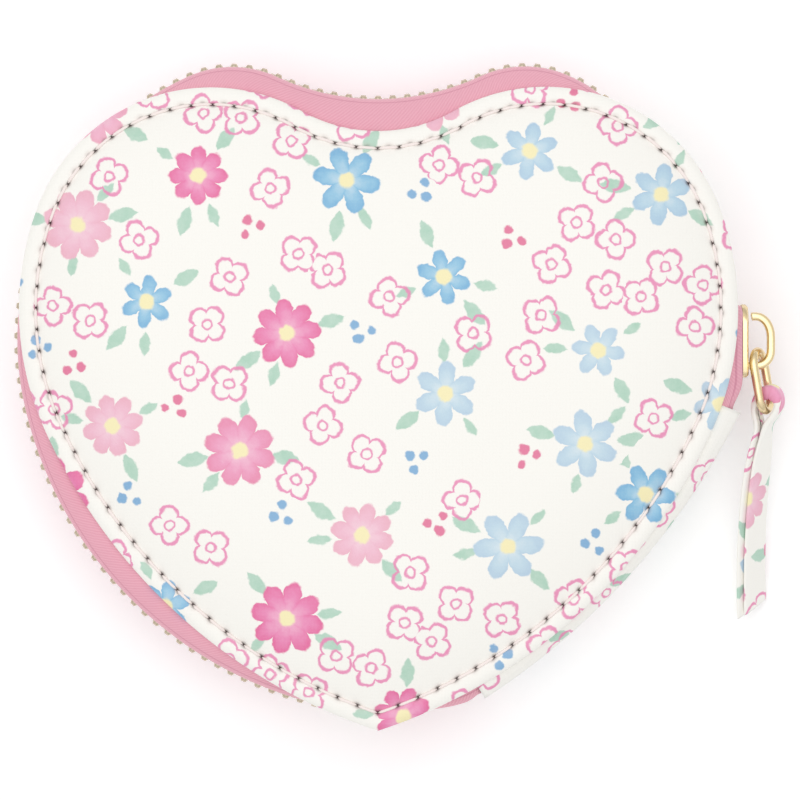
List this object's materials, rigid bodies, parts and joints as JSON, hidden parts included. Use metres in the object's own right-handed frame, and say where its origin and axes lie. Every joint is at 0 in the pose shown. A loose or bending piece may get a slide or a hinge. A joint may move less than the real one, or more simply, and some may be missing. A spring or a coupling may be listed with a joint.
{
  "type": "coin purse",
  "caption": "Heart-shaped zip-around coin purse of printed cloth: padded panels, a metal zip round the edge, a cloth hinge strip and a looped pull tab.",
  "frame": {"origin": "on the flat of the back panel, on the heart's line of symmetry", "axes": "+Z out of the front panel, +X across the heart towards the slider, +Y from the tip towards the lobes"},
  "size_m": [0.1191, 0.1028, 0.02],
  "materials": {
    "printed_cloth": "coated cotton with a floral print",
    "padding": "soft foam",
    "lining": "plain weave",
    "thread": "spun thread",
    "zip_tape": "twill",
    "pale_gold": "polished"
  },
  "bodies": {
    "back": {"back_panel": "printed_cloth", "back_padding": "padding", "back_lining": "lining", "back_topstitch": "thread", "back_zip_tape": "zip_tape", "back_zip_teeth": "pale_gold", "back_top_stop": "pale_gold", "bottom_stop": "pale_gold", "hinge_gusset": "printed_cloth", "hinge_gusset_lining": "lining"},
    "front": {"front_panel": "printed_cloth", "front_padding": "padding", "front_lining": "lining", "front_topstitch": "thread", "front_zip_tape": "zip_tape", "front_zip_teeth": "pale_gold", "front_top_stop": "pale_gold"},
    "slider": {"slider_body": "pale_gold"},
    "link": {"pull_link": "pale_gold"},
    "tab": {"pull_tab": "printed_cloth"}
  },
  "joints": [
    {"name": "cover_open", "type": "hinge", "parent": "back", "child": "front", "pos_m": [0.05742, -0.00233, 0.01], "axis": [0.6663, 0.7457, 0], "range_deg": [0, 95], "deforming": ["hinge_gusset", "hinge_gusset_lining"]},
    {"name": "slider_travel", "type": "hinge", "parent": "back", "child": "slider", "pos_m": [0.0111, 0.0102, 0.01], "axis": [0, 0, 1], "range_deg": [0, 50], "deforming": ["front_zip_teeth", "back_zip_teeth"]},
    {"name": "link_swing", "type": "hinge", "parent": "slider", "child": "link", "pos_m": [0.05985, 0.00637, 0.01], "axis": [-1, 0, 0], "range_deg": [0, 105]},
    {"name": "tab_swing", "type": "hinge", "parent": "link", "child": "tab", "pos_m": [0.06046, -0.00055, 0.00921], "axis": [-0.3732, -0.1374, 0.9175], "range_deg": [0, 70]}
  ]
}
